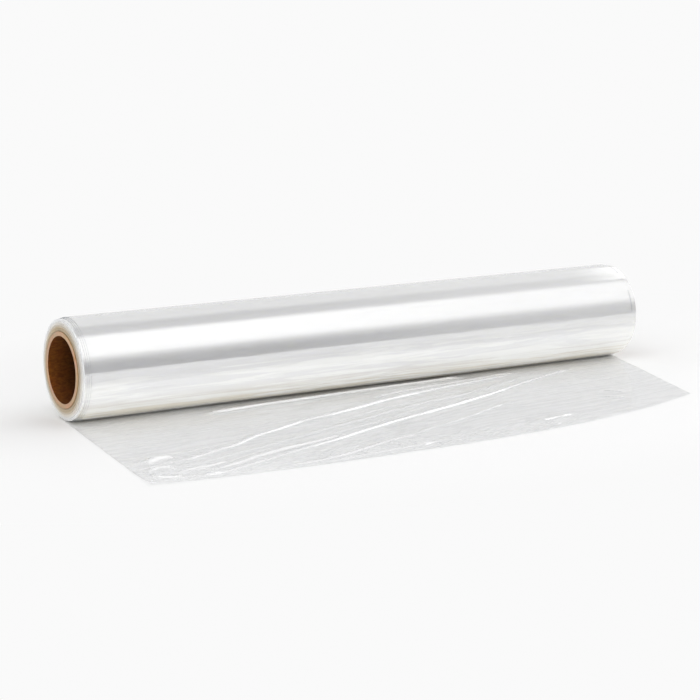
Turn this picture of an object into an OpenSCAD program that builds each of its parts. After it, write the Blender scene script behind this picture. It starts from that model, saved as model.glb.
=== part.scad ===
// A roll of clear cooking film on a cardboard tube. The tube lies along X with its centre at the
// origin. The film's free end leaves the underside of the roll and lies flat in front of it, towards -Y.

/* [Tube] */
// Inner diameter of the cardboard tube
tube_bore_d = 30; // [24:0.5:60]
// Thickness of the tube's wall
tube_wall = 2; // [1.2:0.1:4]
// How far the tube stands out past the film at each end
tube_overhang = 0.3; // [0:0.1:5]
// Number of paper plies that show as rings on the tube's cut ends
tube_plies = 4; // [2:1:6]
// Depth of the fine groove between two plies
ply_groove = 0.2; // [0.05:0.05:0.5]

/* [Film on the roll] */
// Width of the film, which is the length of the wound roll
film_width = 300; // [150:5:600]
// Thickness of all the turns together, from the tube to the outside
film_build = 6; // [2.8:0.1:20]
// Number of rings that the edges of the turns form on the roll's ends
edge_rings = 8; // [4:1:12]
// How far one ring stands out past its neighbour
edge_ripple = 0.2; // [0.05:0.05:0.4]
// How far the turns have crept back from the tube's left end by the time they reach the outside
creep_left = 0.8; // [0:0.1:2]
// The same creep at the tube's right end
creep_right = 0.3; // [0:0.1:2]
// Number of outer turns whose edges are pushed back from the end
slipped_turns = 3; // [1:1:6]
// How far each of those turns is pushed back past the one below it
slip_step = 0.9; // [0.2:0.05:2]
// Thickness of each of those turns
slip_build = 0.15; // [0.05:0.01:0.3]
// Depth of the flat spot that the roll's weight gives its underside
flat_spot = 0.15; // [0.05:0.05:0.5]

/* [Free end] */
// Thickness of the free end
sheet_thickness = 0.25; // [0.2:0.05:0.6]
// Length of the free end at its left edge
free_left = 122; // [60:1:300]
// Length of the free end where it reaches furthest, left of the middle
free_peak = 127.5; // [60:0.5:320]
// Length of the free end at its right edge
free_right = 97.5; // [50:0.5:300]
// How far the free end's left corner is pulled to the left
skew_left = 17; // [0:1:30]
// How far the free end's right corner is pulled to the left
skew_right = 27; // [0:1:40]
// Height of the tallest crease
crease_height = 2; // [0.5:0.1:6]
// Half the width of a crease
crease_half_width = 4.6; // [3:0.1:8]
// How far the front left corner curls up off the table
corner_lift = 1; // [0:0.1:8]
// How far from that corner the curl begins
corner_reach = 26; // [10:1:60]

/* [Hidden] */

tube_r = tube_bore_d / 2 + tube_wall;
tube_len = film_width + 2 * tube_overhang;
// The innermost turn is wound tight on the tube, with only a trace of air between them.
wind_gap = 0.03;
film_in_r = tube_r + wind_gap;
roll_r = tube_r + film_build;
floor_z = -(roll_r - flat_spot);
// The free end starts under the roll, inside the flat spot.
root_y = -sqrt(roll_r * roll_r - floor_z * floor_z) * 0.4;

// Cells of the free end's surface, across the film and along it
cells_u = 42;
cells_v = 34;
// Rows next to the roll that stay flat on the surface, as a share of the free end's length
flat_root = 0.06;

// Creases of the free end: start across and along, end across and along, bow, share of
// crease_height, share of crease_half_width. Across runs 0 to 1 from left to right, and along
// runs 0 to 1 from the roll to the cut edge.
creases = [
    [0.08, 0.75, 0.71, 0.17, -0.02, 0.75, 0.85],
    [0.05, 0.81, 0.69, 0.32, -0.03, 0.60, 0.8],
    [0.07, 0.96, 0.84, 0.25, -0.03, 0.75, 0.7],
    [0.10, 0.90, 0.32, 0.70, 0.00, 0.50, 0.8],
    [0.24, 0.97, 0.42, 0.82, 0.00, 0.35, 0.8],
    [0.44, 0.81, 0.69, 0.57, 0.00, 0.35, 0.8],
    [0.05, 0.22, 0.62, 0.13, -0.01, 0.60, 0.7],
    [0.51, 0.24, 0.72, 0.17, 0.00, 0.40, 0.7],
    [0.03, 0.75, 0.10, 0.66, 0.00, 0.50, 0.9],
    [0.03, 0.84, 0.11, 0.86, 0.01, 0.45, 0.8],
    [0.03, 0.95, 0.09, 0.97, 0.01, 0.40, 0.8],
    [0.09, 0.65, 0.15, 0.61, 0.00, 0.30, 0.8],
    [0.27, 0.98, 0.40, 0.96, 0.00, 0.30, 0.8],
    [0.66, 0.89, 0.74, 0.87, 0.00, 0.25, 0.8]
];

// Length of the free end at a share of its width: it grows to its peak and falls off to the right
free_peak_at = 0.3;
function free_length(u) =
    u < free_peak_at
        ? free_peak - (free_peak - free_left) * pow(1 - u / free_peak_at, 2)
        : free_peak - (free_peak - free_right) * pow((u - free_peak_at) / (1 - free_peak_at), 3);

// Place of a point of the free end, seen from above
function sheet_x(u, v) = film_width * (u - 0.5) - v * (skew_left + (skew_right - skew_left) * u);
function sheet_y(u, v) = root_y - v * (free_length(u) + root_y);
function sheet_xy(u, v) = [sheet_x(u, v), sheet_y(u, v)];

function clamp01(t) = min(1, max(0, t));
function smooth(t) = let (s = clamp01(t)) s * s * (3 - 2 * s);

// Height that one crease gives a point: a rounded ridge that dies away at both ends
function crease_at(p, c) =
    let (
        a = sheet_xy(c[0], c[1]),
        b = sheet_xy(c[2], c[3]),
        d = b - a,
        t = clamp01(((p - a) * d) / (d * d)),
        bow = c[4] * 4 * t * (1 - t) * free_peak,
        on = a + t * d + [0, -bow],
        away = norm(p - on) / (crease_half_width * c[6]),
        taper = smooth(t * 4) * smooth((1 - t) * 4)
    )
    crease_height * c[5] * taper * exp(-away * away);

function sum_of(list, i = 0) = i < len(list) ? list[i] + sum_of(list, i + 1) : 0;
function curl_at(p) =
    let (near = clamp01(1 - norm(p - sheet_xy(0, 1)) / corner_reach))
    corner_lift * near * near;
function lift(u, v) =
    let (p = sheet_xy(u, v))
    smooth((v - flat_root) / flat_root) * (curl_at(p) + sum_of([for (c = creases) crease_at(p, c)]));

// Cardboard tube: a plain bore, with a fine groove between plies on its cut ends
module tube() {
    ply = tube_wall / tube_plies;
    half = tube_len / 2;
    groove_half = ply / 8;
    inner_r = tube_bore_d / 2;
    side = [
        [inner_r, 0],
        for (i = [1 : tube_plies - 1]) each [
            [inner_r + i * ply - groove_half, 0],
            [inner_r + i * ply, ply_groove],
            [inner_r + i * ply + groove_half, 0]
        ],
        [tube_r, 0]
    ];
    left = [for (p = side) [p[0], -half + p[1]]];
    right = [for (i = [len(side) - 1 : -1 : 0]) [side[i][0], half - side[i][1]]];
    color("tan") rotate([0, 90, 0]) rotate_extrude($fn = 64) polygon(concat(left, right));
}

// Setback of the film's edge at ring i from the film's full width
function ring_setback(i, creep, phase) =
    creep * pow((i + 0.5) / edge_rings, 2) + edge_ripple * (0.5 + 0.5 * sin(i * 137 + phase));

// One end of the wound film, from the tube outwards: [radius, setback] pairs that form steps
function end_steps(creep, phase) =
    let (
        plain_build = film_build - wind_gap - slipped_turns * slip_build,
        ring = plain_build / edge_rings,
        outer = roll_r - slipped_turns * slip_build
    )
    [
        for (i = [0 : edge_rings - 1]) each [
            [film_in_r + i * ring, ring_setback(i, creep, phase)],
            [film_in_r + (i + 1) * ring, ring_setback(i, creep, phase)]
        ],
        for (i = [0 : slipped_turns - 1]) each [
            [outer + i * slip_build, creep + edge_ripple + (i + 1) * slip_step],
            [outer + (i + 1) * slip_build, creep + edge_ripple + (i + 1) * slip_step]
        ]
    ];

// All the turns on the tube, with stepped ends and a flat spot underneath
module wound_film() {
    half = film_width / 2;
    near = end_steps(creep_left, 0);
    far = end_steps(creep_right, 75);
    left = [for (p = near) [p[0], -half + p[1]]];
    right = [for (i = [len(far) - 1 : -1 : 0]) [far[i][0], half - far[i][1]]];
    difference() {
        rotate([0, 90, 0]) rotate_extrude($fn = 48) polygon(concat(left, right));
        translate([-film_width, -roll_r, floor_z - roll_r])
            cube([2 * film_width, 2 * roll_r, roll_r]);
    }
}

// The free end: one creased sheet that lies in front of the roll
module free_end() {
    row = cells_u + 1;
    count = row * (cells_v + 1);
    grid = [for (j = [0 : cells_v]) for (i = [0 : cells_u]) [i / cells_u, j / cells_v]];
    under = [for (g = grid) [sheet_x(g[0], g[1]), sheet_y(g[0], g[1]), floor_z + lift(g[0], g[1])]];
    over = [for (p = under) p + [0, 0, sheet_thickness]];
    cells = [for (j = [0 : cells_v - 1]) for (i = [0 : cells_u - 1]) j * row + i];
    last = cells_v * row;
    rim = concat(
        [for (i = [0 : cells_u - 1]) i],
        [for (j = [0 : cells_v - 1]) j * row + cells_u],
        [for (i = [cells_u : -1 : 1]) last + i],
        [for (j = [cells_v : -1 : 1]) j * row]
    );
    faces = concat(
        [for (k = cells) each [[k, k + row + 1, k + 1], [k, k + row, k + row + 1]]],
        [for (k = cells) each [
            [count + k, count + k + 1, count + k + row + 1],
            [count + k, count + k + row + 1, count + k + row]
        ]],
        [for (n = [0 : len(rim) - 1])
            let (a = rim[n], b = rim[(n + 1) % len(rim)])
            each [[count + b, count + a, a], [count + b, a, b]]]
    );
    polyhedron(points = concat(under, over), faces = faces, convexity = 8);
}

// The film is one piece: its turns on the tube and its free end
module film() {
    color([0.93, 0.94, 0.94]) union() {
        wound_film();
        free_end();
    }
}

tube();
film();
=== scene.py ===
"""A roll of clear cooking film on a cardboard tube, with its creased free end in front of it."""
import logging
import math
from dataclasses import dataclass
from enum import Enum
from typing import Any

import bmesh
import bpy
import numpy as np
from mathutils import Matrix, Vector, noise


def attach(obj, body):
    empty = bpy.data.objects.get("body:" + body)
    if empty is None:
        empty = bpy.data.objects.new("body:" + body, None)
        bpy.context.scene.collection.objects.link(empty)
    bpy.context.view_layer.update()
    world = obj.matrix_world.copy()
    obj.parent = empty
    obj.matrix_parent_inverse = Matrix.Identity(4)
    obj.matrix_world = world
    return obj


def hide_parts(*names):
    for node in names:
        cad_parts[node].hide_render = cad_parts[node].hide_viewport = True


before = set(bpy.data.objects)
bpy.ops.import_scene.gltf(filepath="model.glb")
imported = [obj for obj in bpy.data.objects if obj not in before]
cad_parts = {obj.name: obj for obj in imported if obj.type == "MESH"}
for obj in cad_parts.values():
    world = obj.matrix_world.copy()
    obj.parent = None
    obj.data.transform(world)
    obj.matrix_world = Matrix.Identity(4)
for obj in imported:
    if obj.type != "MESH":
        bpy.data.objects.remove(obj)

log = logging.getLogger("film_roll")
MM = 0.001


def linear(hex_colour: str) -> tuple[float, float, float, float]:
    """Turns an sRGB hex colour to linear.

    Args:
        hex_colour: Six hex digits, such as "c8a078".

    Returns:
        Linear red, green and blue, and an alpha of 1.
    """
    parts = [int(hex_colour[i:i + 2], 16) / 255 for i in (0, 2, 4)]
    red, green, blue = (p / 12.92 if p <= 0.04045 else ((p + 0.055) / 1.055) ** 2.4 for p in parts)
    return red, green, blue, 1.0


def feed(
    tree: bpy.types.NodeTree, node: bpy.types.Node, name: str | int, source: Any,
) -> None:
    """Gives one input of a node a socket or a constant.

    Args:
        tree: The node tree that holds the node.
        node: The node.
        name: The input's name or number.
        source: A socket or a constant.
    """
    if isinstance(source, bpy.types.NodeSocket):
        tree.links.new(source, node.inputs[name])
    else:
        node.inputs[name].default_value = source


def add_node(
    tree: bpy.types.NodeTree,
    kind: str,
    settings: dict[str, Any] | None = None,
    inputs: dict[Any, Any] | None = None,
) -> bpy.types.Node:
    """Adds a shader node.

    Args:
        tree: The node tree that gets it.
        kind: The node's class, without its ShaderNode prefix.
        settings: Its properties.
        inputs: Sockets or constants for its inputs, by name or number.

    Returns:
        The new node.
    """
    node = tree.nodes.new("ShaderNode" + kind)
    for name, value in (settings or {}).items():
        setattr(node, name, value)
    for name, source in (inputs or {}).items():
        feed(tree, node, name, source)
    return node


def compute(
    tree: bpy.types.NodeTree, operation: str, first: Any, second: Any = None,
) -> bpy.types.NodeSocket:
    """Adds a Math node.

    Args:
        tree: The node tree that gets it.
        operation: What it computes.
        first: A socket or a number.
        second: Another one, if the operation takes two.

    Returns:
        The result.
    """
    inputs = {0: first} if second is None else {0: first, 1: second}
    return add_node(tree, "Math", {"operation": operation}, inputs).outputs[0]


def remap(
    tree: bpy.types.NodeTree,
    source: bpy.types.NodeSocket,
    start: float,
    end: float,
    low: float = 0.0,
    high: float = 1.0,
    eased: bool = False,
) -> bpy.types.NodeSocket:
    """Maps a value from one range to another and holds it at the ends.

    Args:
        tree: The node tree that gets the node.
        source: The value.
        start: Where the value gives low.
        end: Where it gives high.
        low: The result at the start.
        high: The result at the end.
        eased: Whether the result changes softly at both ends.

    Returns:
        The result.
    """
    node = add_node(
        tree, "MapRange", {"interpolation_type": "SMOOTHSTEP" if eased else "LINEAR"},
        {"Value": source, "From Min": start, "From Max": end, "To Min": low, "To Max": high},
    )
    return node.outputs["Result"]


def blend(
    tree: bpy.types.NodeTree, share: Any, first: Any, second: Any, mode: str = "MIX",
) -> bpy.types.NodeSocket:
    """Mixes two colours.

    Args:
        tree: The node tree that gets the node.
        share: How much of the second colour there is.
        first: A socket or a colour.
        second: Another one.
        mode: The way of mixing.

    Returns:
        The mixed colour.
    """
    settings = {"data_type": "RGBA", "blend_type": mode}
    return add_node(tree, "Mix", settings, {0: share, 6: first, 7: second}).outputs[2]


def add_noise(
    tree: bpy.types.NodeTree,
    place: bpy.types.NodeSocket,
    size_mm: tuple[float, float, float],
    turn_deg: float = 0.0,
    **values: float,
) -> bpy.types.Node:
    """Adds a noise pattern of a given size.

    Args:
        tree: The node tree that gets it.
        place: Object coordinates.
        size_mm: The size of a blotch along x, y and z.
        turn_deg: How far the pattern is turned about z.
        values: The noise node's Detail, Roughness and Distortion.

    Returns:
        The noise node.
    """
    mapping = add_node(tree, "Mapping", inputs={
        "Vector": place, "Scale": tuple(1 / (size * MM) for size in size_mm),
        "Rotation": (0, 0, math.radians(turn_deg)),
    })
    return add_node(tree, "TexNoise", inputs={"Vector": mapping.outputs[0], "Scale": 1.0, **values})


def add_bump(
    tree: bpy.types.NodeTree,
    height: bpy.types.NodeSocket,
    strength: float,
    distance_mm: float,
    below: bpy.types.NodeSocket | None = None,
) -> bpy.types.NodeSocket:
    """Adds a bump.

    Args:
        tree: The node tree that gets it.
        height: The height pattern.
        strength: Its strength.
        distance_mm: The height of its full range.
        below: The normal of a bump that this one lies on.

    Returns:
        The bumped normal.
    """
    inputs: dict[Any, Any] = {"Height": height, "Strength": strength, "Distance": distance_mm * MM}
    if below is not None:
        inputs["Normal"] = below
    return add_node(tree, "Bump", inputs=inputs).outputs[0]


def object_place(
    tree: bpy.types.NodeTree,
) -> tuple[bpy.types.NodeSocket, list[bpy.types.NodeSocket]]:
    """Adds the nodes that read the piece's own coordinates.

    Args:
        tree: The node tree that gets the nodes.

    Returns:
        The coordinates as one socket, and as a list of x, y and z in metres.
    """
    place = add_node(tree, "TexCoord").outputs["Object"]
    return place, list(add_node(tree, "SeparateXYZ", inputs={0: place}).outputs)


def seen_directly(tree: bpy.types.NodeTree, path: bpy.types.Node) -> bpy.types.NodeSocket:
    """Gives 1 for the rays that show the surroundings: the camera's, mirrored and let through.

    Args:
        tree: The node tree that gets the nodes.
        path: Its Light Path node.

    Returns:
        1 for those rays, 0 for the ones that light the pieces.
    """
    either = compute(tree, "MAXIMUM", path.outputs["Is Camera Ray"], path.outputs["Is Glossy Ray"])
    return compute(tree, "MAXIMUM", either, path.outputs["Is Transmission Ray"])


def add_ramp(
    tree: bpy.types.NodeTree,
    share: bpy.types.NodeSocket,
    stops: list[tuple[float, tuple[float, float, float, float]]],
) -> bpy.types.NodeSocket:
    """Adds a colour ramp.

    Args:
        tree: The node tree that gets it.
        share: What runs from 0 to 1 along it.
        stops: Position and colour of each stop, in order.

    Returns:
        The ramp's colour.
    """
    node = add_node(tree, "ValToRGB", inputs={"Fac": share})
    ramp = node.color_ramp
    while len(ramp.elements) > 1:
        ramp.elements.remove(ramp.elements[-1])
    ramp.elements[0].position, ramp.elements[0].color = stops[0]
    for position, colour in stops[1:]:
        ramp.elements.new(position).color = colour
    return node.outputs["Color"]


def grey(level: float) -> tuple[float, float, float, float]:
    """Gives a linear grey of that level."""
    return level, level, level, 1.0


def new_material(name: str) -> tuple[bpy.types.Material, bpy.types.NodeTree]:
    """Makes a node material that has no nodes yet.

    Args:
        name: The material's name.

    Returns:
        The material and its node tree.
    """
    material = bpy.data.materials.new(name)
    material.use_nodes = True
    material.node_tree.nodes.clear()
    return material, material.node_tree


def close_material(tree: bpy.types.NodeTree, shader: bpy.types.NodeSocket) -> None:
    """Feeds a shader to the material's output.

    Args:
        tree: The material's node tree.
        shader: The finished shader.
    """
    add_node(tree, "OutputMaterial", inputs={"Surface": shader})


def finish_mesh(
    mesh: bmesh.types.BMesh, name: str, materials: list[bpy.types.Material],
) -> bpy.types.Object:
    """Turns a bmesh to an object at the origin.

    Args:
        mesh: The finished bmesh, which this frees.
        name: The piece's name.
        materials: Its material slots.

    Returns:
        The object, linked to the scene.
    """
    data = bpy.data.meshes.new(name)
    mesh.to_mesh(data)
    mesh.free()
    for material in materials:
        data.materials.append(material)
    piece = bpy.data.objects.new(name, data)
    bpy.context.scene.collection.objects.link(piece)
    return piece


def smooth(share: Any) -> Any:
    """Eases a share from 0 to 1 with flat ends.

    Args:
        share: The share, or an array of them, which may run past 0 and 1.

    Returns:
        The eased share or array.
    """
    s = np.clip(share, 0.0, 1.0)
    return s * s * (3 - 2 * s)


class TubePart(Enum):
    """The surfaces of the cardboard tube, by material slot."""

    OUTSIDE = 0
    BORE = 1
    CUT_EDGE = 2


class FilmPart(Enum):
    """The surfaces of the wound film, by material slot."""

    OUTER_TURN = 0
    EDGES = 1
    SLIPPED_EDGES = 2


@dataclass(frozen=True)
class KraftPly:
    """Spirally wound kraft paper ply: matte, with short fibres and a butt seam at each pitch.

    The paper's coarse fibres break up the light, so the eye sees no gloss. A bore's colour fades to
    a given share of itself away from the tube's ends: painted shade, as less light gets far into a tube.
    """

    name: str
    base: str
    fibre: str
    seam: str
    pitch_mm: float = 62.0
    fibre_mm: float = 0.9
    deep_shade: float = 1.0

    def build(self) -> bpy.types.Material:
        """Builds the ply's material and returns it."""
        material, tree = new_material(self.name)
        place, (x, y, z) = object_place(tree)
        fibre = self.fibre_mm
        fibres = add_noise(
            tree, place, (fibre / 0.45, fibre, fibre), Detail=6, Roughness=0.65,
        ).outputs["Fac"]
        mottle = add_noise(tree, place, (7, 7, 7), Detail=3).outputs["Color"]
        # The plies wind round the tube, so their butt seams run along a spiral.
        turn_share = compute(tree, "DIVIDE", compute(tree, "ARCTAN2", z, y), 2 * math.pi)
        spiral = compute(tree, "ADD", turn_share, compute(tree, "DIVIDE", x, self.pitch_mm * MM))
        from_seam = compute(tree, "PINGPONG", compute(tree, "FRACT", spiral), 0.5)
        seam = remap(tree, from_seam, 0.004, 0.014, 1.0, 0.0)
        colour = add_ramp(tree, fibres, [(0.36, linear(self.fibre)), (0.62, linear(self.base))])
        mottled = blend(tree, 0.35, colour, mottle, "MULTIPLY")
        # Painted shade: the bore is darker the farther in it goes, as less light reaches there.
        depth_shade = remap(tree, compute(tree, "ABSOLUTE", x), 149 * MM, 134 * MM, 1.0, self.deep_shade)
        shade = add_node(tree, "VectorMath", {"operation": "SCALE"}, {0: mottled, "Scale": depth_shade})
        seamed = blend(tree, seam, shade.outputs[0], linear(self.seam))
        bump = add_bump(tree, compute(tree, "SUBTRACT", fibres, seam), 0.45, 0.12)
        shader = add_node(tree, "BsdfPrincipled", inputs={
            "Base Color": seamed, "Roughness": 0.86, "Specular IOR Level": 0.25, "Normal": bump,
        })
        close_material(tree, shader.outputs[0])
        return material


@dataclass(frozen=True)
class WoundPolyester:
    """Hundreds of glossy clear polyester turns: they mirror like a pile of plates and glow milky."""

    body: str = "f0f0ef"
    warm_shade: str = "ebe3d0"
    milk: str = "fffffa"
    metallic: float = 0.56
    glow: float = 1.0
    roughness: float = 0.085
    streak_mm: float = 1.6
    streak_length_mm: float = 130.0
    slack_mm: tuple[float, float, float] = (76.9, 4.348, 4.348)
    air_mm: tuple[float, float, float] = (58.8, 3.03, 3.03)
    glow_mm: float = 16.0

    def build(self) -> bpy.types.Material:
        """Builds the wound film's material and returns it."""
        material, tree = new_material("wound_polyester_film")
        place, (_, _, z) = object_place(tree)
        streak_size = (self.streak_length_mm, self.streak_mm, self.streak_mm)
        streaks = add_noise(tree, place, streak_size, Detail=4, Roughness=0.55).outputs["Fac"]
        slack = add_noise(tree, place, self.slack_mm, Detail=4, Distortion=1.4).outputs["Fac"]
        # The slack turns lie on the lower front, where the free end pulls them.
        low = remap(tree, z, 3 * MM, -3 * MM, eased=True)
        # Painted shade: the film turns warmer and darker towards the table on the roll's underside.
        under_shade = remap(tree, z, -9 * MM, -21.5 * MM, eased=True)
        fine_bump = add_bump(tree, streaks, 0.22, 0.02)
        slack_bump = add_bump(tree, compute(tree, "MULTIPLY", slack, low), 0.9, 0.27, fine_bump)
        tint = blend(tree, under_shade, linear(self.body), linear(self.warm_shade))
        # Air caught under the slack turns shows as long milky streaks, and their whiter colour is also
        # painted light that brightens the lower front.
        air = add_noise(tree, place, self.air_mm, Detail=4, Roughness=0.6, Distortion=0.9)
        milky = compute(tree, "MULTIPLY", remap(tree, air.outputs["Fac"], 0.46, 0.57), low)
        shader = add_node(tree, "BsdfPrincipled", inputs={
            "Base Color": blend(tree, milky, tint, linear(self.milk)),
            "Metallic": self.metallic, "Roughness": self.roughness, "IOR": 1.6,
            "Subsurface Weight": self.glow, "Subsurface Radius": (1.0, 1.0, 0.9),
            "Subsurface Scale": self.glow_mm * MM, "Normal": slack_bump,
        })
        close_material(tree, shader.outputs[0])
        return material


@dataclass(frozen=True)
class FilmEdges:
    """The cut edges of all the turns: milky and waxy, with a painted tan glow near the tube, darkest right
    at it, where the cardboard shows through the film.
    """

    name: str = "film_edges"
    inner: str = "806a42"
    tan_show_through: str = "bba786"
    middle: str = "dfd8cc"
    outer: str = "f0f1f2"
    inner_r_mm: float = 17.0
    outer_r_mm: float = 23.0
    ring_mm: float = 0.35

    def build(self) -> bpy.types.Material:
        """Builds the edges' material and returns it."""
        material, tree = new_material(self.name)
        place, _ = object_place(tree)
        flat = add_node(tree, "VectorMath", {"operation": "MULTIPLY"}, {0: place, 1: (0, 1, 1)})
        length = add_node(tree, "VectorMath", {"operation": "LENGTH"}, {0: flat.outputs[0]})
        radius = length.outputs["Value"]
        share = remap(tree, radius, self.inner_r_mm * MM, self.outer_r_mm * MM)
        colour = add_ramp(tree, share, [
            (0.0, linear(self.inner)), (0.09, linear(self.tan_show_through)), (0.27, linear(self.tan_show_through)),
            (0.5, linear(self.middle)), (0.78, linear(self.outer)),
        ])
        rings = add_node(tree, "TexNoise", {"noise_dimensions": "1D"}, {
            "W": compute(tree, "DIVIDE", radius, self.ring_mm * MM), "Scale": 1.0, "Detail": 2,
        }).outputs["Fac"]
        cloud = add_noise(tree, place, (9, 9, 9), Detail=2).outputs["Fac"]
        shade = compute(
            tree, "MULTIPLY", remap(tree, rings, 0.3, 0.7, 0.9, 1.03),
            remap(tree, cloud, 0.3, 0.7, 0.95, 1.04),
        )
        tinted = add_node(tree, "VectorMath", {"operation": "SCALE"}, {0: colour, "Scale": shade})
        shader = add_node(tree, "BsdfPrincipled", inputs={
            "Base Color": tinted.outputs[0], "Roughness": 0.38, "IOR": 1.6,
            "Subsurface Weight": 0.5, "Subsurface Radius": (1.0, 1.0, 1.0),
            "Subsurface Scale": 3 * MM, "Normal": add_bump(tree, rings, 0.5, 0.08),
        })
        close_material(tree, shader.outputs[0])
        return material


@dataclass(frozen=True)
class ClearPolyester:
    """One clear polyester film: most light passes, the rest is sharp gloss, and folds turn whitish: partly
    the film's own whitening, partly a painted highlight.
    """

    body: str = "f8f9fa"
    alpha: float = 0.15
    fold_alpha: float = 0.85
    roughness: float = 0.1
    metallic: float = 0.7
    fold_metallic: float = 0.08
    crinkle_mm: tuple[float, float, float] = (18.18, 3.846, 16.67)
    crinkle_turn_deg: float = -22.0

    def build(self) -> bpy.types.Material:
        """Builds the single film's material and returns it."""
        material, tree = new_material("clear_polyester_film")
        place, _ = object_place(tree)
        crinkle = add_noise(
            tree, place, self.crinkle_mm, self.crinkle_turn_deg, Detail=3, Distortion=0.6,
        ).outputs["Fac"]
        # Light scatters where the film is folded, so a fold is less clear and less of a mirror; the whiter
        # colour there is also a painted highlight along the crease.
        fold_highlight = add_node(tree, "Attribute", {"attribute_name": "fold_highlight"}).outputs["Fac"]
        shader = add_node(tree, "BsdfPrincipled", inputs={
            "Base Color": blend(tree, fold_highlight, linear(self.body), linear("ffffff")),
            "Metallic": remap(tree, fold_highlight, 0.0, 1.0, self.metallic, self.fold_metallic),
            "Alpha": remap(tree, fold_highlight, 0.0, 1.0, self.alpha, self.fold_alpha),
            "Roughness": self.roughness, "IOR": 1.65, "Normal": add_bump(tree, crinkle, 0.45, 0.12),
        })
        close_material(tree, shader.outputs[0])
        return material


@dataclass
class CardboardTube:
    """The spirally wound cardboard tube that the film is wound on."""

    bore_r: float = 15.0 * MM
    wall: float = 2.0 * MM
    length: float = 300.6 * MM
    edge_bevel: float = 0.25 * MM
    raggedness: float = 0.09 * MM
    steps: int = 192

    def build(self) -> bpy.types.Object:
        """Builds the tube and returns it."""
        bm = bmesh.new()
        half, outer_r = self.length / 2, self.bore_r + self.wall
        section = [(-half, self.bore_r), (-half, outer_r), (half, outer_r), (half, self.bore_r)]
        corners = [bm.verts.new((x, 0, r)) for x, r in section]
        edges = [bm.edges.new((corners[i], corners[(i + 1) % 4])) for i in range(4)]
        bmesh.ops.spin(
            bm, geom=corners + edges, cent=(0, 0, 0), axis=(1, 0, 0), angle=2 * math.pi,
            steps=self.steps, use_merge=True,
        )
        bmesh.ops.remove_doubles(bm, verts=bm.verts, dist=1e-6)
        rims = [
            e for e in bm.edges
            if abs(e.verts[0].co.x - e.verts[1].co.x) < 1e-7 and e.calc_face_angle(0.0) > 1.0
        ]
        bmesh.ops.bevel(
            bm, geom=rims, offset=self.edge_bevel, segments=3, profile=0.5, affect="EDGES",
            material=-1,
        )
        bmesh.ops.recalc_face_normals(bm, faces=bm.faces)
        # The blade leaves the cut edge a little ragged.
        for vert in bm.verts:
            if abs(vert.co.x) > half - 2 * self.edge_bevel:
                place = vert.co / (1.3 * MM)
                worn = self.raggedness * (0.5 + 0.5 * noise.noise(place))
                vert.co.x -= math.copysign(worn, vert.co.x)
        for face in bm.faces:
            centre = face.calc_center_median()
            radius = math.hypot(centre.y, centre.z)
            face.smooth = True
            if abs(face.normal.x) > 0.35:
                face.material_index = TubePart.CUT_EDGE.value
            elif radius < self.bore_r + self.wall / 2:
                face.material_index = TubePart.BORE.value
        return finish_mesh(bm, "cardboard_tube", [
            KraftPly("kraft_outside", "c39a6c", "a87f52", "8a6238").build(),
            # The bore's kraft is given darker colours than the outside's: painted shade inside the tube.
            KraftPly("kraft_bore_painted_shade", "824a15", "61310a", "351804", deep_shade=0.22).build(),
            KraftPly("kraft_cut_edge", "dfc0a2", "c79c7a", "bf936e", fibre_mm=0.35).build(),
        ])

    def dress(self, piece: bpy.types.Object) -> None:
        """Ties the tube to the frame."""
        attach(piece, "root")
        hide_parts("tube")


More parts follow.
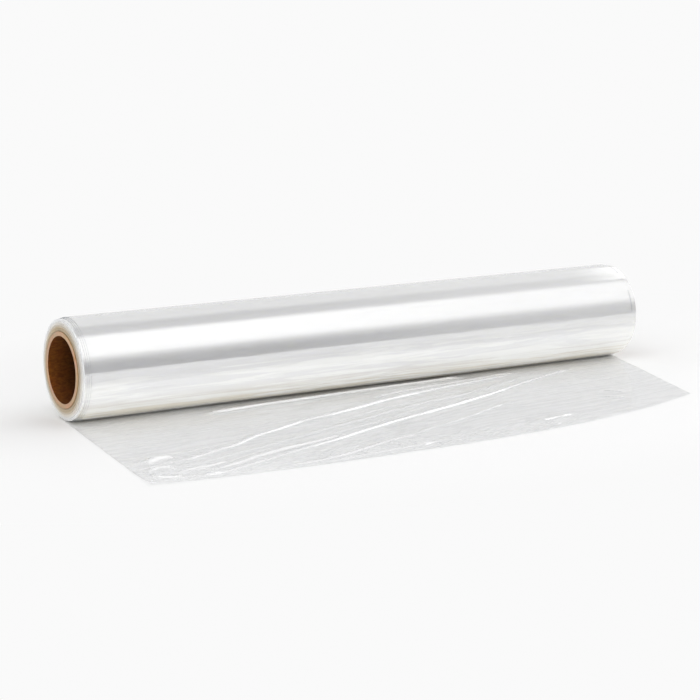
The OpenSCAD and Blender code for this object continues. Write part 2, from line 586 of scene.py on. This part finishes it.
@dataclass
class WoundFilm:
    """All the turns of film on the tube, with the edges that slipped back at both ends."""

    inner_r: float = 17.03 * MM
    outer_r: float = 23.0 * MM
    width: float = 300.0 * MM
    floor_z: float = -22.85 * MM
    slipped: int = 3
    slip_build: float = 0.15 * MM
    slip_step: float = 0.9 * MM
    ripple: float = 0.2 * MM
    creep_near: float = 0.8 * MM
    creep_far: float = 0.3 * MM
    mark: float = 0.35 * MM
    rings: int = 14
    steps: int = 256
    spans: int = 150

    def end_steps(self, creep: float, phase: float) -> list[tuple[float, float]]:
        """Gives one end's stepped outline.

        Args:
            creep: How far the turns have crept back by the time they reach the outside.
            phase: Shifts the ripple of the edges, so that the two ends differ.

        Returns:
            Radius and setback of each corner, from the tube outwards.
        """
        plain_r = self.outer_r - self.slipped * self.slip_build
        step = (plain_r - self.inner_r) / self.rings
        outline: list[tuple[float, float]] = []
        for i in range(self.rings):
            ripple = self.ripple * (0.5 + 0.5 * math.sin(i * 2.39 + phase))
            back = creep * ((i + 0.5) / self.rings) ** 2 + ripple
            outline += [(self.inner_r + i * step, back), (self.inner_r + (i + 1) * step, back)]
        for i in range(self.slipped):
            back = creep + self.ripple + (i + 1) * self.slip_step
            radius = plain_r + i * self.slip_build
            outline += [(radius, back), (radius + self.slip_build, back)]
        return outline

    def build(self) -> bpy.types.Object:
        """Builds the wound film and returns it."""
        bm = bmesh.new()
        half = self.width / 2
        near = [(-half + back, r) for r, back in self.end_steps(self.creep_near, 0.0)]
        far = [(half - back, r) for r, back in reversed(self.end_steps(self.creep_far, 1.3))]
        left, right = near[-1][0], far[0][0]
        span = (right - left) / self.spans
        lengthwise = [(left + span * i, self.outer_r) for i in range(1, self.spans)]
        section = near + lengthwise + [(right - self.mark, self.outer_r)] + far
        corners = [bm.verts.new((x, 0, r)) for x, r in section]
        count = len(corners)
        edges = [bm.edges.new((corners[i], corners[(i + 1) % count])) for i in range(count)]
        bmesh.ops.spin(
            bm, geom=corners + edges, cent=(0, 0, 0), axis=(1, 0, 0), angle=2 * math.pi,
            steps=self.steps, use_merge=True,
        )
        bmesh.ops.remove_doubles(bm, verts=bm.verts, dist=1e-7)
        bmesh.ops.recalc_face_normals(bm, faces=bm.faces)
        plain_r = self.outer_r - self.slipped * self.slip_build
        for face in bm.faces:
            face.smooth = True
            face.material_index = self.part_at(
                face.calc_center_median(), abs(face.normal.x) > 0.5, plain_r, right,
            ).value
        for vert in bm.verts:
            self.settle(vert)
        for edge in bm.edges:
            edge.smooth = edge.calc_face_angle(0.0) < 0.15
        # The slipped turns' cut edges get a flat mid grey: painted shade lines at the steps.
        shaded_slipped_edges = FilmEdges("slipped_film_edges_painted_shade", *["7d8285"] * 4)
        return finish_mesh(bm, "film_turns", [
            WoundPolyester().build(), FilmEdges().build(), shaded_slipped_edges.build(),
        ])

    def part_at(self, centre: Vector, faces_end: bool, plain_r: float, right: float) -> FilmPart:
        """Tells which part of the film a face belongs to.

        Args:
            centre: The face's centre.
            faces_end: Whether it faces one of the roll's ends.
            plain_r: The radius where the slipped turns begin.
            right: Where the outermost turn ends on the right.

        Returns:
            The part.
        """
        radius = math.hypot(centre.y, centre.z)
        if faces_end and radius > plain_r:
            return FilmPart.SLIPPED_EDGES
        if faces_end or radius < self.inner_r + MM:
            return FilmPart.EDGES
        # At two places round the roll the outermost turn's far edge gets the slipped edges' grey: a
        # painted shade line.
        turn = math.atan2(centre.z, -centre.y)
        if right - self.mark < centre.x < right and (0.1 < turn < 0.6 or 1.08 < turn < 1.4):
            return FilmPart.SLIPPED_EDGES
        return FilmPart.OUTER_TURN

    def settle(self, vert: bmesh.types.BMVert) -> None:
        """Lays one vertex of the outermost turn in its slack ripples, and any vertex on the flat spot."""
        radius = math.hypot(vert.co.y, vert.co.z)
        if radius > self.outer_r - 0.5 * self.slip_build:
            turn = math.atan2(vert.co.z, -vert.co.y)
            slack = smooth((0.12 - turn) / 0.5) * smooth((turn + 1.5) / 0.4)
            wave = noise.noise(Vector((vert.co.x / 0.055 + 2.5 * turn, turn * 5.5, 3.1)))
            fine = noise.noise(Vector((vert.co.x / 0.03 + 5.0 * turn, turn * 15.0, 8.4)))
            lift = slack * (0.13 * wave + 0.045 * fine) * MM
            lean = 1 + lift / radius
            vert.co.y, vert.co.z = vert.co.y * lean, vert.co.z * lean
        vert.co.z = max(vert.co.z, self.floor_z)

    def dress(self, piece: bpy.types.Object) -> None:
        """Ties the turns to the frame."""
        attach(piece, "root")
        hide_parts("film")


@dataclass(frozen=True)
class Crease:
    """One crease of the free end.

    `way` is seen from above, and `front` and `back` are the reach of its slopes towards the cut edge
    and towards the roll, all in millimetres. `fold_highlight` is how sharply the film is folded, 0 to 1,
    and sets how strong a painted highlight the crease gets.
    """

    way: tuple[tuple[float, float], ...]
    height: float
    front: float
    back: float = 2.4
    fold_highlight: float = 0.7

    def shape(self, x: np.ndarray, y: np.ndarray) -> tuple[np.ndarray, np.ndarray]:
        """Gives the height that the crease adds, steep towards the cut edge, and its fold, which sets its
        painted highlight.

        Args:
            x: Places along the roll, in millimetres.
            y: Places towards the roll, in millimetres.

        Returns:
            The height at each place, in millimetres, and how sharply the film folds there, 0 to 1, which
            sets the painted highlight there.
        """
        points = np.array(self.way, dtype=float)
        lengths = np.hypot(*(points[1:] - points[:-1]).T)
        total, done = lengths.sum(), 0.0
        best = np.full(x.shape, 1e9)
        along = np.zeros(x.shape)
        side = np.zeros(x.shape)
        for a, b, length in zip(points[:-1], points[1:], lengths):
            d = (b - a) / length
            t = np.clip((x - a[0]) * d[0] + (y - a[1]) * d[1], 0, length)
            away = np.hypot(x - a[0] - t * d[0], y - a[1] - t * d[1])
            nearer = away < best
            best = np.where(nearer, away, best)
            along = np.where(nearer, (done + t) / total, along)
            side = np.where(nearer, d[0] * (y - a[1]) - d[1] * (x - a[0]), side)
            done += length
        taper = smooth(np.minimum(along, 1 - along) / min(0.25, 12 / total))
        reach = np.where(side < 0, self.front, self.back)
        ahead = np.where(side < 0, best, -best)
        off_fold = (ahead - 0.45 * self.front) / (0.6 * self.front)
        fold_highlight = self.fold_highlight * taper * np.exp(-(off_fold ** 2))
        return self.height * taper * np.exp(-((best / reach) ** 2)), fold_highlight


def creases() -> list[Crease]:
    """Lists the free end's creases: the long ones, then those at the cut edge, the root and the corner."""
    return [
        Crease((
            (-147, -98), (-133, -92), (-122, -87), (-108, -81), (-93, -71), (-77, -64), (-63, -57),
            (-45, -52), (-27, -46), (-7, -38), (13, -33), (34, -28), (54, -25), (76, -20),
        ), 0.95, 1.05, fold_highlight=0.65),
        Crease(((-12, -31), (9, -26), (27, -23.5), (45, -21.5), (64, -19), (84, -16)), 0.8, 0.95),
        Crease((
            (-157, -104), (-143, -102), (-129, -99.5), (-115, -94), (-99, -89), (-84, -83),
            (-63, -75), (-38, -67), (-18, -59), (8, -51), (31, -46), (54, -37), (80, -27),
        ), 0.48, 0.85, fold_highlight=0.45),
        Crease((
            (-139, -115), (-123, -110), (-110, -103), (-96, -98), (-84, -95), (-70, -91),
            (-56, -86),
        ), 1.0, 1.9, 2.6, 0.9),
        Crease(((-128, -108), (-114, -102), (-100, -95), (-88, -91)), 0.5, 1.1, 1.6, 0.5),
        Crease((
            (-155, -124), (-143, -122), (-133, -120), (-118, -114), (-101, -107), (-85, -100),
            (-67, -94), (-47, -85), (-22, -75), (-4, -69), (19, -61), (41, -52), (67, -40),
            (90, -30), (112, -22),
        ), 0.7, 0.8, 1.6),
        Crease(((-66, -84), (-47, -78), (-28, -71), (-6, -62), (12, -56)), 0.4, 0.8, 1.6, 0.5),
        Crease(((-60, -68), (-38, -60), (-14, -51), (12, -43), (36, -36)), 0.35, 0.8, 1.6, 0.35),
        Crease((
            (-112, -123), (-96, -123), (-84, -121), (-71, -117), (-55, -110), (-41, -105),
            (-26, -103),
        ), 0.55, 1.1, 1.8),
        Crease((
            (-45, -104), (-32, -102), (-21, -96), (-4, -90), (12, -83), (30, -74), (48, -67),
        ), 0.38, 0.9, 1.8, 0.4),
        Crease(((-50, -106), (-47, -113), (-47, -122)), 0.4, 1.1, 1.6),
        Crease(((-94, -125), (-75, -124), (-57, -122), (-40, -120), (-22, -116)), 0.4, 0.9, 1.5),
        Crease((
            (-94, -20.5), (-79, -20.5), (-60, -18.5), (-40, -17.5), (-19, -16.5), (4, -15.5),
            (29, -14.5), (56, -13),
        ), 1.3, 0.85, 1.6, 0.95),
        Crease(((-157, -96), (-153, -91), (-147, -87), (-137, -84)), 1.6, 3.2, 2.8, 1.0),
        Crease(((-152, -111), (-142, -110), (-133, -108), (-120, -103)), 1.0, 1.3, 2.0, 0.95),
        Crease(((-160, -104), (-154, -101), (-149, -103), (-146, -108)), 1.1, 1.5, 2.0, 1.0),
        Crease(((-162, -109), (-161, -116), (-154, -118), (-148, -114)), 1.1, 1.5, 2.0, 1.0),
        Crease(((-147, -115), (-145, -120), (-139, -121.5), (-133, -119)), 0.7, 1.1, 1.4, 0.8),
        Crease(((-144, -113), (-138, -110), (-134, -113), (-134, -118)), 0.6, 1.0, 1.4, 0.8),
        Crease(((-135, -82), (-124, -79), (-112, -76)), 0.45, 0.9, 1.4),
        Crease(((-160, -92), (-154, -89), (-145, -86)), 0.5, 1.0, 1.4),
        Crease(((-159, -98), (-150, -96), (-140, -93)), 0.5, 1.0, 1.4),
        Crease(((26, -109), (36, -107), (52, -104)), 0.5, 1.0, 1.4),
        Crease(((30, -107), (29, -113), (36, -117)), 0.35, 1.0, 1.4),
        Crease(((82, -79), (87, -84), (93, -91)), 0.3, 0.9, 1.3),
        Crease(((92, -70), (95, -74), (99, -79)), 0.25, 0.9, 1.3),
    ]


def grain(
    x: np.ndarray, y: np.ndarray, angle_deg: float, along_mm: float, across_mm: float, seed: float
) -> np.ndarray:
    """Gives long thin wrinkles that run at an angle to the roll.

    Args:
        x: Places along the roll, in millimetres.
        y: Places towards the roll, in millimetres.
        angle_deg: The wrinkles' direction, up from the roll's axis.
        along_mm: Their length.
        across_mm: Their spacing.
        seed: Picks the pattern.

    Returns:
        A value from about -1 to 1 at each place.
    """
    c, s = math.cos(math.radians(angle_deg)), math.sin(math.radians(angle_deg))
    along, across = (x * c + y * s) / along_mm, (y * c - x * s) / across_mm
    return np.array([noise.noise(Vector((a, b, seed))) for a, b in zip(along, across)])


def ridged(values: np.ndarray) -> np.ndarray:
    """Folds noise into sharp ridges from 0 to 1."""
    return np.clip(1 - 2.6 * np.abs(values), 0, 1) ** 1.5


@dataclass
class FreeEnd:
    """The drawn-out end of the film, which lies on the table in front of the roll."""

    width: float = 300.0
    left: float = 122.0
    peak: float = 127.5
    peak_at: float = 0.3
    right: float = 97.5
    skew_left: float = 17.0
    skew_right: float = 27.0
    corner_lift: float = 1.0
    corner_reach: float = 26.0
    root_y: float = -1.05
    floor_z: float = -22.85
    thickness: float = 0.08
    across: int = 200
    along: int = 232

    def length_at(self, u: np.ndarray) -> np.ndarray:
        """Gives the free end's length at a share of its width, in millimetres."""
        before = np.clip(1 - u / self.peak_at, 0, 1) ** 2
        after = np.clip((u - self.peak_at) / (1 - self.peak_at), 0, 1) ** 3
        return self.peak - (self.peak - self.left) * before - (self.peak - self.right) * after

    def place(self, u: np.ndarray, v: np.ndarray) -> tuple[np.ndarray, np.ndarray]:
        """Gives the place on the table of each share across and along, in millimetres."""
        x = self.width * (u - 0.5) - v * (self.skew_left + (self.skew_right - self.skew_left) * u)
        y = self.root_y - v * (self.length_at(u) + self.root_y)
        return x, y

    def shape(
        self, x: np.ndarray, y: np.ndarray, u: np.ndarray, v: np.ndarray,
    ) -> tuple[np.ndarray, np.ndarray]:
        """Gives the height of the film over the table, and where it is folded, which gets a painted
        highlight.

        Args:
            x: Places along the roll, in millimetres.
            y: Places towards the roll, in millimetres.
            u: Shares across the film.
            v: Shares along the film.

        Returns:
            The height at each place, in millimetres, and how sharply the film folds there, 0 to 1, which
            sets the painted highlight there.
        """
        shapes = [crease.shape(x, y) for crease in creases()]
        total = sum(height for height, _ in shapes)
        fold_highlight = np.max([fold_highlight for _, fold_highlight in shapes], axis=0)
        corner_x, corner_y = self.place(np.array(0.0), np.array(1.0))
        away = np.hypot(x - corner_x, y - corner_y)
        # Long soft pulls all over, finer ones between the drag creases, and crinkles near the left
        # corner and along the cut edge. Each row below gives height, painted fold highlight, where, angle,
        # length, spacing and seed.
        drag = np.exp(-(((y - 0.42 * x + 66) / 24) ** 2)) * np.clip((90 - x) / 60, 0, 1)
        corner = np.clip(1.25 - away / 48, 0, 1)
        cut = np.clip((v - 0.78) / 0.12, 0, 1) * np.exp(-(((u - 0.48) / 0.26) ** 4))
        total = total + 0.16 * np.clip(grain(x, y, 12, 70, 13, 1.7) + 0.3, 0, 1)
        for height, whiteness, where, angle, along, across, seed in (
            (0.1, 0.25, drag, 23, 60, 5.0, 3.9),
            (0.5, 0.7, corner, 14, 15, 5.6, 5.2),
            (0.32, 0.5, cut, 20, 14, 3.6, 7.7),
            (0.09, 0.16, 1.0, 7, 34, 4.2, 9.3),
        ):
            pattern = where * ridged(grain(x, y, angle, along, across, seed))
            total = total + height * pattern
            fold_highlight = np.maximum(fold_highlight, whiteness * pattern)
        curl = np.clip(1 - away / self.corner_reach, 0, 1)
        total = total + self.corner_lift * curl * curl
        # The film lies flat under the roll.
        root = smooth((v - 0.02) / 0.04)
        return total * root, np.clip(fold_highlight, 0, 1) * root

    def build(self) -> bpy.types.Object:
        """Builds the free end and returns it."""
        bm = bmesh.new()
        bmesh.ops.create_grid(bm, x_segments=self.across, y_segments=self.along, size=0.5)
        # Each cell is cut along the way that the drag creases run, so that their ridges stay clean.
        bmesh.ops.triangulate(bm, faces=bm.faces, quad_method="FIXED")
        verts = list(bm.verts)
        u = np.array([vert.co.x + 0.5 for vert in verts])
        v = np.array([0.5 - vert.co.y for vert in verts])
        x, y = self.place(u, v)
        # The blade that cut the film left a slightly uneven edge.
        ragged = np.array([
            noise.noise(Vector((px / 3.0, 0.0, 9.0))) + noise.noise(Vector((px / 14.0, 2.0, 4.0)))
            for px in x
        ])
        y = y - ragged * 0.5 * np.clip((v - 0.9) / 0.1, 0, 1)
        side = np.array([noise.noise(Vector((py / 5.0, 3.0, 1.0))) for py in y])
        x = x + side * 0.3 * (np.clip(1 - u / 0.03, 0, 1) - np.clip(1 - (1 - u) / 0.03, 0, 1))
        lift, fold_highlight = self.shape(x, y, u, v)
        z = self.floor_z + self.thickness + lift
        for vert, px, py, pz in zip(verts, x, y, z):
            vert.co = Vector((px * MM, py * MM, pz * MM))
        bmesh.ops.recalc_face_normals(bm, faces=bm.faces)
        if sum(face.normal.z for face in bm.faces) < 0:
            bmesh.ops.reverse_faces(bm, faces=bm.faces)
        for face in bm.faces:
            face.smooth = True
        piece = finish_mesh(bm, "film_free_end", [ClearPolyester().build()])
        piece.data.attributes.new("fold_highlight", "FLOAT", "POINT").data.foreach_set("value", fold_highlight)
        shell = piece.modifiers.new("thickness", "SOLIDIFY")
        shell.thickness = self.thickness * MM
        shell.offset = -1.0
        return piece

    def dress(self, piece: bpy.types.Object) -> None:
        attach(piece, "root")
        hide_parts("film")


# Degrees up from the table in front of the roll, over the top and down behind it, and how bright
# the light tent's diffuser glows there.
TENT_LEVELS = (
    (0, 0.15), (14, 0.15), (24, 0.4), (36, 1.1), (44, 1.2), (78, 1.2), (88, 0.5), (106, 0.44),
    (118, 0.74), (150, 0.8), (168.5, 0.84), (180, 0.8),
)


@dataclass
class Studio:
    """The pale table, the light tent and the camera."""

    floor_z: float = -22.85 * MM
    tent_r: float = 1.5
    tent_half: float = 5.0
    right_lamp: float = 2.0
    lens_mm: float = 112.46
    white: float = 0.955
    camera_place: tuple[float, float, float] = (-0.52474, -0.86788, 0.19081)
    yaw_deg: float = 31.010
    pitch_deg: float = 10.985

    def build_floor(self) -> None:
        """Builds the table, which fades to the backdrop's white far from the roll."""
        bm = bmesh.new()
        bmesh.ops.create_grid(bm, x_segments=1, y_segments=1, size=6.0)
        bmesh.ops.translate(bm, verts=bm.verts, vec=(0, 0, self.floor_z - 0.02 * MM))
        material, tree = new_material("pale_table")
        place, (_, y, _) = object_place(tree)
        oval = add_node(tree, "Mapping", inputs={
            "Vector": place, "Location": (-0.016, 0, 0), "Scale": (0.62, 1, 1),
        })
        length = add_node(tree, "VectorMath", {"operation": "LENGTH"}, {0: oval.outputs[0]})
        far = remap(tree, length.outputs["Value"], 0.105, 0.22, eased=True)
        path = add_node(tree, "LightPath")
        faded = compute(tree, "MULTIPLY", far, seen_directly(tree, path))
        # Painted reflection: to mirrored rays the table shows white right up to the roll's own shade, over
        # the shade the roll really casts there, and a painted darker grey farther out.
        beside = compute(tree, "ABSOLUTE", y)
        unshaded = remap(tree, beside, 4 * MM, 15 * MM, eased=True)
        mirrored = compute(tree, "MULTIPLY", unshaded, path.outputs["Is Glossy Ray"])
        farther = remap(tree, beside, 38 * MM, 62 * MM, eased=True)
        dimmed = compute(tree, "MULTIPLY", farther, path.outputs["Is Glossy Ray"])
        tone = blend(tree, dimmed, grey(self.white), grey(0.74))
        near_shader = add_node(tree, "BsdfPrincipled", inputs={
            "Base Color": grey(0.94), "Roughness": 0.6, "Specular IOR Level": 0.1,
        })
        far_shader = add_node(tree, "Emission", inputs={"Color": tone, "Strength": 1.0})
        mixed = add_node(tree, "MixShader", inputs={
            0: compute(tree, "MAXIMUM", faded, mirrored),
            1: near_shader.outputs[0], 2: far_shader.outputs[0],
        })
        close_material(tree, mixed.outputs[0])
        finish_mesh(bm, "table", [material])

    def build_tent(self) -> None:
        """Builds the light tent: a half round of diffuser along the roll, lit from behind."""
        bm = bmesh.new()
        half = self.tent_half
        ends = [bm.verts.new((x, -self.tent_r, self.floor_z)) for x in (-half, half)]
        edge = bm.edges.new(ends)
        bmesh.ops.spin(
            bm, geom=ends + [edge], cent=(0, 0, self.floor_z), axis=(1, 0, 0), angle=-math.pi,
            steps=48, use_merge=False,
        )
        material, tree = new_material("light_tent")
        _, (x, y, z) = object_place(tree)
        front = compute(tree, "MULTIPLY", y, -1.0)
        share = compute(tree, "DIVIDE", compute(tree, "ARCTAN2", z, front), math.pi)
        peak = max(level for _, level in TENT_LEVELS)
        glow = add_ramp(tree, share, [
            (turn / 180, grey(level / peak)) for turn, level in TENT_LEVELS
        ])
        # The lamps don't reach the tent's right end, where light and dark even out.
        even = remap(tree, x, 0.7, 1.15, 0.0, 0.3, eased=True)
        evened = blend(tree, even, glow, grey(0.9 / peak))
        # A second soft lamp stands to the right and behind. Only the creases' steep sides face it.
        lamp_start = remap(tree, x, 1.19, 1.36, eased=True)
        lamp_end = remap(tree, x, 3.2, 2.8, eased=True)
        band = add_ramp(tree, share, [
            (turn / 180, grey(level)) for turn, level in ((88, 0), (94, 1), (142, 1), (150, 0))
        ])
        lit = compute(tree, "MULTIPLY", compute(tree, "MULTIPLY", lamp_start, lamp_end), band)
        both = blend(tree, lit, evened, grey(self.right_lamp / peak))
        lamp = add_node(tree, "Emission", inputs={"Color": both, "Strength": peak})
        close_material(tree, lamp.outputs[0])
        tent = finish_mesh(bm, "light_tent", [material])
        tent.visible_camera = False
        tent.visible_shadow = False

    def build_soft_lamp(
        self, name: str, place: Vector, size: tuple[float, float], power: float,
    ) -> None:
        """Builds a soft lamp that points at the roll and shows in no reflection.

        Args:
            name: The lamp's name.
            place: Where it stands.
            size: Its width and height in metres.
            power: Its power in watts.
        """
        data = bpy.data.lights.new(name, "AREA")
        data.shape = "RECTANGLE"
        data.size, data.size_y = size
        data.energy = power
        lamp = bpy.data.objects.new(name, data)
        lamp.location = place
        lamp.rotation_euler = place.to_track_quat("Z", "Y").to_euler()
        lamp.visible_glossy = False
        lamp.visible_camera = False
        bpy.context.scene.collection.objects.link(lamp)

    def build_world(self) -> None:
        """Builds the plain white surroundings."""
        world = bpy.data.worlds.new("white_room")
        world.use_nodes = True
        tree = world.node_tree
        tree.nodes.clear()
        path = add_node(tree, "LightPath")
        white = add_node(tree, "Background", inputs={"Color": grey(self.white), "Strength": 1.0})
        plain = add_node(tree, "Background", inputs={"Color": grey(0.8), "Strength": 1.0})
        mixed = add_node(tree, "MixShader", inputs={
            0: seen_directly(tree, path), 1: plain.outputs[0], 2: white.outputs[0],
        })
        add_node(tree, "OutputWorld", inputs={"Surface": mixed.outputs[0]})
        bpy.context.scene.world = world

    def build_camera(self) -> None:
        """Places the camera at the photograph's angle."""
        data = bpy.data.cameras.new("camera")
        data.lens = self.lens_mm
        data.sensor_width = 36.0
        camera = bpy.data.objects.new("camera", data)
        camera.location = self.camera_place
        tilt, turn = math.radians(90 - self.pitch_deg), -math.radians(self.yaw_deg)
        camera.rotation_euler = (tilt, 0.0, turn)
        bpy.context.scene.collection.objects.link(camera)
        bpy.context.scene.camera = camera

    def build(self) -> None:
        """Builds the whole studio."""
        self.build_floor()
        self.build_tent()
        self.build_soft_lamp("front_fill", Vector((-0.2, -1.4, 0.14)), (2.4, 0.4), 14.0)
        self.build_soft_lamp("overhead", Vector((0.0, -0.35, 1.35)), (2.2, 1.4), 3.6)
        self.build_world()
        self.build_camera()
        bpy.context.scene.view_settings.view_transform = "Standard"


def main() -> None:
    """Builds the studio and each piece of the roll in order."""
    logging.basicConfig(level=logging.INFO, format="%(name)s: %(message)s")
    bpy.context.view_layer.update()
    Studio().build()
    for maker in (CardboardTube(), WoundFilm(), FreeEnd()):
        piece = maker.build()
        maker.dress(piece)
        log.info("%s: %d vertices", piece.name, len(piece.data.vertices))


if __name__ == "__main__":
    main()
